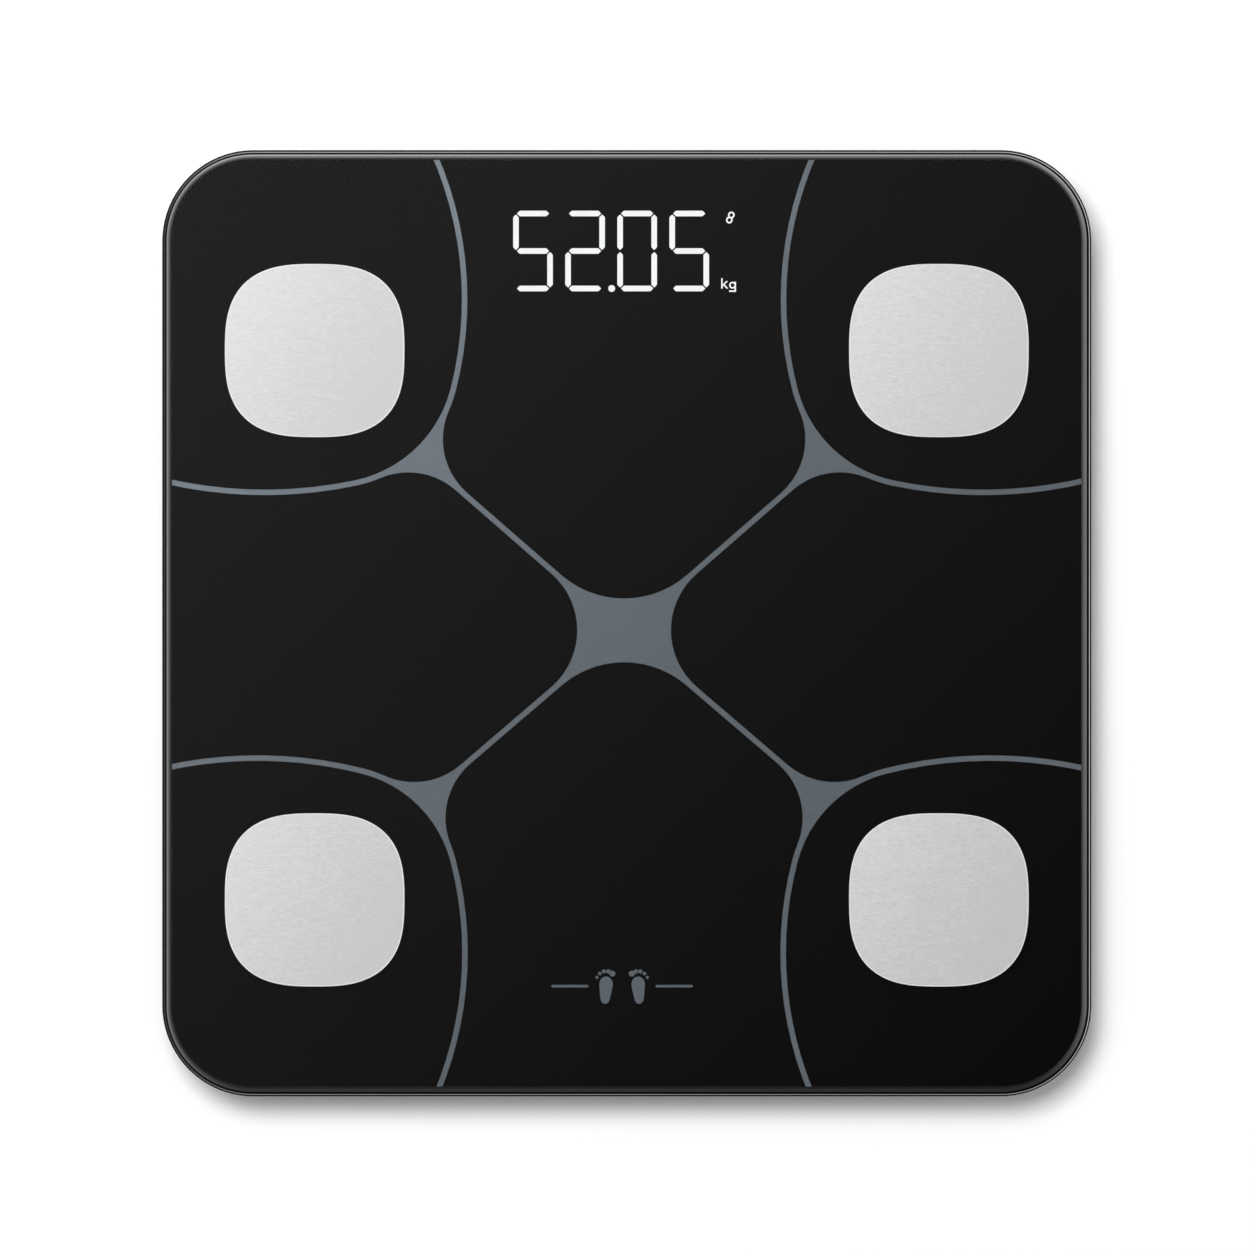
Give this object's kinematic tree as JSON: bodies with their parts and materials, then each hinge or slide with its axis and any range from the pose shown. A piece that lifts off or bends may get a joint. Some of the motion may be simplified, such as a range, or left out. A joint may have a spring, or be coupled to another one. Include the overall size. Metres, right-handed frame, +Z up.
{
  "type": "digital bathroom scale",
  "caption": "Flat glass-topped digital bathroom scale with brushed electrode pads, a lit reading, a line-patterned back print, sprung load cell feet and a hinged battery door.",
  "frame": {"origin": "on the floor, under the middle of the plate", "axes": "+Z up, +Y towards the display end, +X to the right of someone who reads the display from the -Y side"},
  "size_m": [0.26, 0.2648, 0.0256],
  "materials": {
    "clear_glass": "clear tempered glass with a polished, rounded edge",
    "black_ink": "black screen print behind the glass",
    "grey_ink": "grey screen print behind the black",
    "display_film": "smoked film over the display",
    "dark_pipe": "unlit clear epoxy light pipe",
    "reflector_plastic": "black display block",
    "brushed_electrode": "stainless steel, fine straight brushing along X",
    "nylon": "natural nylon",
    "tinned_metal": "tinned brass",
    "zinc_steel": "bright zinc plate",
    "foam_tape": "black acrylic foam tape",
    "housing_plastic": "black ABS with a fine spark texture",
    "carrier_plastic": "light grey glass-filled nylon",
    "cell_steel": "nickel plated spring steel",
    "gauge_film": "strain gauge under clear sealant",
    "cup_plastic": "black ABS",
    "pad_rubber": "dark soft rubber",
    "board_laminate": "green solder mask",
    "chip_plastic": "black moulding compound",
    "button_plastic": "dark grey ABS",
    "battery_can": "plain blue sleeve over a steel can",
    "nickel_steel": "nickel plate",
    "red_lead": "red PVC insulation",
    "black_lead": "black PVC insulation",
    "white_lead": "white PVC jacket over three cores",
    "blue_lead": "blue PVC insulation",
    "lit_pipe": "white light pipe lit from behind"
  },
  "bodies": {
    "root": {"base_housing": "housing_plastic", "battery_1": "battery_can", "battery_2": "battery_can", "battery_3": "battery_can", "battery_contacts": "nickel_steel", "battery_lead_negative": "black_lead", "battery_lead_positive": "red_lead", "battery_springs": "nickel_steel", "board_chips": "chip_plastic", "board_connectors": "nylon", "board_screws": "zinc_steel", "carrier_screws": "zinc_steel", "carrier_tapes": "foam_tape", "cell_carrier_front_left": "carrier_plastic", "cell_carrier_front_right": "carrier_plastic", "cell_carrier_rear_left": "carrier_plastic", "cell_carrier_rear_right": "carrier_plastic", "cell_lead_front_left": "white_lead", "cell_lead_front_right": "white_lead", "cell_lead_rear_left": "white_lead", "cell_lead_rear_right": "white_lead", "display_reflector": "reflector_plastic", "display_window": "display_film", "electrode_bushes": "nylon", "electrode_front_left": "brushed_electrode", "electrode_front_right": "brushed_electrode", "electrode_lead_front_left": "blue_lead", "electrode_lead_front_right": "blue_lead", "electrode_lead_rear_left": "blue_lead", "electrode_lead_rear_right": "blue_lead", "electrode_nuts": "zinc_steel", "electrode_rear_left": "brushed_electrode", "electrode_rear_right": "brushed_electrode", "electrode_terminals": "tinned_metal", "glass_plate": "clear_glass", "lit_marks": "lit_pipe", "lit_segments": "lit_pipe", "load_cell_front_left": "cell_steel", "load_cell_front_right": "cell_steel", "load_cell_rear_left": "cell_steel", "load_cell_rear_right": "cell_steel", "main_board": "board_laminate", "perimeter_tape": "foam_tape", "print_black": "black_ink", "print_grey": "grey_ink", "strain_gauges": "gauge_film", "unit_switch": "chip_plastic", "unlit_segments": "dark_pipe"},
    "foot_front_left": {"foot_cup_front_left": "cup_plastic", "foot_pad_front_left": "pad_rubber"},
    "foot_front_right": {"foot_cup_front_right": "cup_plastic", "foot_pad_front_right": "pad_rubber"},
    "foot_rear_left": {"foot_cup_rear_left": "cup_plastic", "foot_pad_rear_left": "pad_rubber"},
    "foot_rear_right": {"foot_cup_rear_right": "cup_plastic", "foot_pad_rear_right": "pad_rubber"},
    "battery_door": {"battery_door": "housing_plastic"},
    "unit_button": {"unit_button": "button_plastic", "switch_plunger": "chip_plastic"}
  },
  "joints": [
    {"name": "foot_front_left_press", "type": "slide", "parent": "root", "child": "foot_front_left", "axis": [0, 0, 1], "range_m": [0, 0.0008], "stiffness_N_per_m": 10000, "springref_m": -0.0006, "deforming": ["load_cell_front_left"]},
    {"name": "foot_front_right_press", "type": "slide", "parent": "root", "child": "foot_front_right", "axis": [0, 0, 1], "range_m": [0, 0.0008], "stiffness_N_per_m": 10000, "springref_m": -0.0006, "deforming": ["load_cell_front_right"]},
    {"name": "foot_rear_left_press", "type": "slide", "parent": "root", "child": "foot_rear_left", "axis": [0, 0, 1], "range_m": [0, 0.0008], "stiffness_N_per_m": 10000, "springref_m": -0.0006, "deforming": ["load_cell_rear_left"]},
    {"name": "foot_rear_right_press", "type": "slide", "parent": "root", "child": "foot_rear_right", "axis": [0, 0, 1], "range_m": [0, 0.0008], "stiffness_N_per_m": 10000, "springref_m": -0.0006, "deforming": ["load_cell_rear_right"]},
    {"name": "battery_door_hinge", "type": "hinge", "parent": "root", "child": "battery_door", "pos_m": [0, 0.0088, 0.0052], "axis": [-1, 0, 0], "range_deg": [0, 100]},
    {"name": "unit_button_press", "type": "slide", "parent": "root", "child": "unit_button", "axis": [0, 0, 1], "range_m": [0, 0.0005], "stiffness_N_per_m": 1500, "springref_m": -0.0004}
  ]
}
